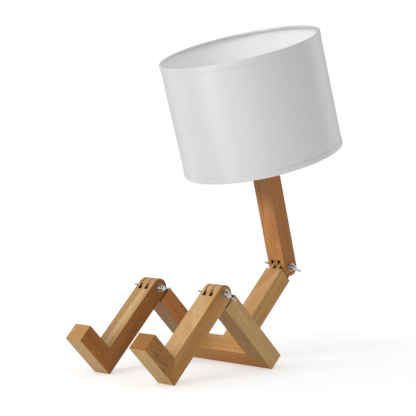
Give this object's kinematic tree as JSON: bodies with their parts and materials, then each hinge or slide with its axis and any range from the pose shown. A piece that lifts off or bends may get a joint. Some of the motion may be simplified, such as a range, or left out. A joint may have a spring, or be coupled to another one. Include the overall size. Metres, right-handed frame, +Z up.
{
  "type": "folding timber desk lamp",
  "caption": "Folding timber desk lamp shaped like a seated figure: finger-jointed knees and waist with wing screws, a leaning neck and a fabric drum shade.",
  "frame": {"origin": "on the table, at the middle of the lamp's outline seen from above", "axes": "+X to the figure's own left, +Y from its feet to its back, +Z up"},
  "size_m": [0.2288, 0.4082, 0.4756],
  "materials": {
    "timber": "planed pale softwood with a clear satin coat; end grain darker",
    "dowel_timber": "plain turned beech, glued in",
    "zinc_steel": "bright zinc-plated, slightly dulled by handling",
    "brass": "bright drawn brass",
    "holder_plastic": "moulded white, semi-gloss",
    "porcelain": "unglazed white porcelain",
    "bush_plastic": "black moulded nylon",
    "white_wire": "white epoxy-coated steel wire",
    "shade_fabric": "white woven satin fabric, laminated to its liner, with a soft vertical sheen",
    "shade_hem": "the same fabric rolled over the rim wires, slightly greyer",
    "shade_liner": "translucent white flame-retardant film",
    "bulb_metal": "rolled thread, bright",
    "black_glass": "black insulating bead",
    "opal_glass": "white opal, satin"
  },
  "bodies": {
    "seat": {"left_thigh": "timber", "right_thigh": "timber", "seat_bar": "timber", "torso_beam": "timber", "seat_dowels": "dowel_timber", "torso_dowels": "dowel_timber"},
    "left_leg": {"left_shin": "timber", "left_foot": "timber", "left_heel_dowels": "dowel_timber", "left_knee_wing_screw": "zinc_steel", "left_knee_head_washer": "zinc_steel"},
    "right_leg": {"right_shin": "timber", "right_foot": "timber", "right_heel_dowels": "dowel_timber", "right_knee_wing_screw": "zinc_steel", "right_knee_head_washer": "zinc_steel"},
    "head": {"neck_beam": "timber", "waist_wing_screw": "zinc_steel", "waist_head_washer": "zinc_steel", "cord_bush": "bush_plastic", "holder_nipple": "brass", "nipple_nut": "brass", "holder_cap": "holder_plastic", "holder_shell": "holder_plastic", "terminal_block": "porcelain", "screw_shell": "brass", "centre_contact": "brass", "shade_clamp_ring": "holder_plastic", "bulb_cap": "bulb_metal", "bulb_insulator": "black_glass", "bulb_tip": "bulb_metal", "bulb_glass": "opal_glass", "shade_fitter": "white_wire", "shade_bottom_ring": "white_wire", "shade_top_ring": "white_wire", "shade_liner": "shade_liner", "shade_fabric": "shade_fabric", "shade_bottom_hem": "shade_hem", "shade_top_hem": "shade_hem"},
    "left_knee_washer": {"left_knee_nut_washer": "zinc_steel"},
    "left_knee_nut": {"left_knee_wing_nut": "zinc_steel"},
    "right_knee_washer": {"right_knee_nut_washer": "zinc_steel"},
    "right_knee_nut": {"right_knee_wing_nut": "zinc_steel"},
    "waist_washer": {"waist_nut_washer": "zinc_steel"},
    "waist_nut": {"waist_wing_nut": "zinc_steel"}
  },
  "joints": [
    {"name": "left_knee", "type": "hinge", "parent": "seat", "child": "left_leg", "pos_m": [0.0625, -0.06178, 0.10862], "axis": [-1, 0, 0], "range_deg": [-4, 90]},
    {"name": "right_knee", "type": "hinge", "parent": "seat", "child": "right_leg", "pos_m": [-0.0625, -0.06178, 0.10862], "axis": [-1, 0, 0], "range_deg": [-4, 90]},
    {"name": "waist", "type": "hinge", "parent": "seat", "child": "head", "pos_m": [0, 0.13745, 0.12825], "axis": [1, 0, 0], "range_deg": [-100, 20]},
    {"name": "left_knee_washer_slide", "type": "slide", "parent": "left_leg", "child": "left_knee_washer", "axis": [1, 0, 0], "range_m": [0, 0.0008]},
    {"name": "left_knee_nut_turn", "type": "hinge", "parent": "left_knee_washer", "child": "left_knee_nut", "pos_m": [0.0775, -0.06178, 0.10862], "axis": [1, 0, 0], "range_deg": [0, 360]},
    {"name": "right_knee_washer_slide", "type": "slide", "parent": "right_leg", "child": "right_knee_washer", "axis": [1, 0, 0], "range_m": [0, 0.0008]},
    {"name": "right_knee_nut_turn", "type": "hinge", "parent": "right_knee_washer", "child": "right_knee_nut", "pos_m": [-0.0475, -0.06178, 0.10862], "axis": [1, 0, 0], "range_deg": [0, 360]},
    {"name": "waist_washer_slide", "type": "slide", "parent": "head", "child": "waist_washer", "axis": [1, 0, 0], "range_m": [0, 0.0008]},
    {"name": "waist_nut_turn", "type": "hinge", "parent": "waist_washer", "child": "waist_nut", "pos_m": [0.015, 0.13745, 0.12825], "axis": [1, 0, 0], "range_deg": [0, 360]}
  ],
  "couplings": [
    {"joint": "left_knee_washer_slide", "follows": "left_knee_nut_turn", "m_per_rad": 0.00012732},
    {"joint": "right_knee_washer_slide", "follows": "right_knee_nut_turn", "m_per_rad": 0.00012732},
    {"joint": "waist_washer_slide", "follows": "waist_nut_turn", "m_per_rad": 0.00012732}
  ]
}
